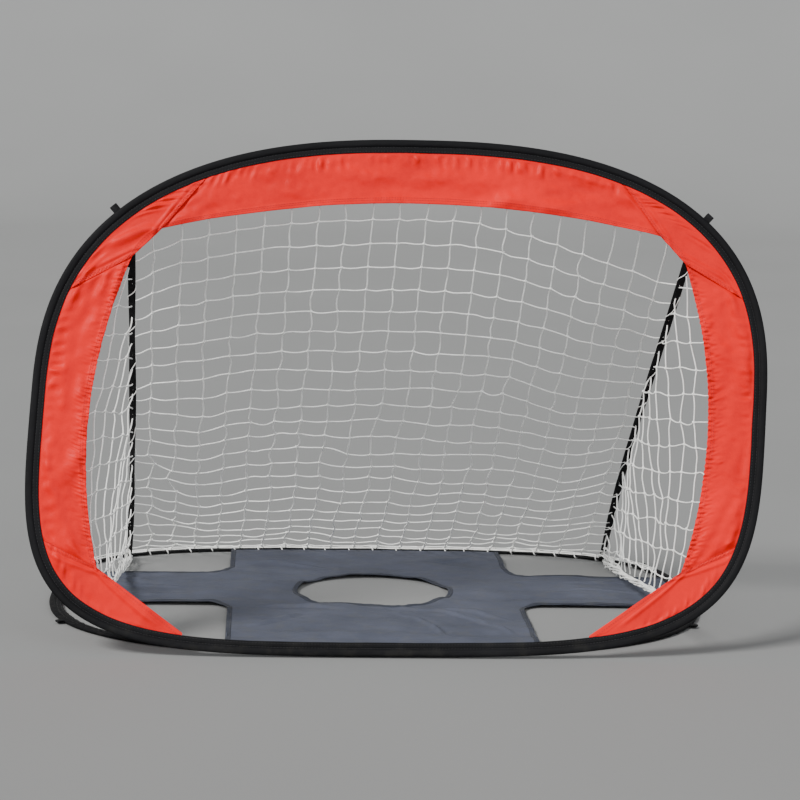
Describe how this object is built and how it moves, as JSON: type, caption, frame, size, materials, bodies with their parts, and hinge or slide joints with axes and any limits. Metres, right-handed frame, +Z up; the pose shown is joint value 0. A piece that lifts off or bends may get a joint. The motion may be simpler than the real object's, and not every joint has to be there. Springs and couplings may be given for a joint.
{
  "type": "pop-up soccer goal frame",
  "caption": "Pop-up soccer goal: two sprung oval hoops in fabric sleeves, red mouth border, target sheet with holes, corner straps and net, folding flat.",
  "frame": {"origin": "on the ground, in the middle of the flat underside of the base hoop's front edge", "axes": "+X across the mouth to the right as seen from the front, +Y from the mouth to the rear, +Z up"},
  "size_m": [1.2083, 0.8596, 0.82],
  "materials": {
    "black_polyester": "woven coated polyester, matt with a faint sheen",
    "red_polyester": "woven coated polyester, satin",
    "slate_polyester": "woven coated polyester, satin",
    "dark_binding": "folded woven binding tape, matt",
    "white_net": "knotted braided twine",
    "black_webbing": "ribbed woven webbing",
    "spring_steel": "drawn spring wire",
    "ferrule_steel": "crimped plated tube"
  },
  "bodies": {
    "base_hoop": {"base_sleeve": "black_polyester", "base_spring_wire": "spring_steel", "base_wire_ferrule": "ferrule_steel", "target_sheet": "slate_polyester", "hole_binding_centre": "dark_binding", "hole_binding_front_left": "dark_binding", "hole_binding_front_right": "dark_binding", "hole_binding_rear_left": "dark_binding", "hole_binding_rear_right": "dark_binding", "base_loop_front_left": "black_webbing", "base_loop_front_right": "black_webbing", "base_loop_rear_left": "black_webbing", "base_loop_rear_right": "black_webbing", "front_join_tape": "black_webbing", "net_rear": "white_net", "net_side_left": "white_net", "net_side_right": "white_net", "corner_strap_left": "black_webbing", "corner_strap_right": "black_webbing"},
    "front_hoop": {"front_sleeve": "black_polyester", "front_spring_wire": "spring_steel", "front_wire_ferrule": "ferrule_steel", "front_panel_top": "red_polyester", "front_panel_side_left": "red_polyester", "front_panel_side_right": "red_polyester", "front_corner_upper_left": "red_polyester", "front_corner_upper_right": "red_polyester", "front_corner_lower_left": "red_polyester", "front_corner_lower_right": "red_polyester", "front_loop_upper_left": "black_webbing", "front_loop_upper_right": "black_webbing"}
  },
  "joints": [
    {"name": "front_hoop_fold", "type": "hinge", "parent": "base_hoop", "child": "front_hoop", "pos_m": [0, -0.00625, 0.0085], "axis": [-1, 0, 0], "range_deg": [0, 73], "stiffness_Nm_per_rad": 1.5, "springref_deg": -34.38, "deforming": ["net_rear", "net_side_left", "net_side_right", "corner_strap_left", "corner_strap_right"]}
  ]
}
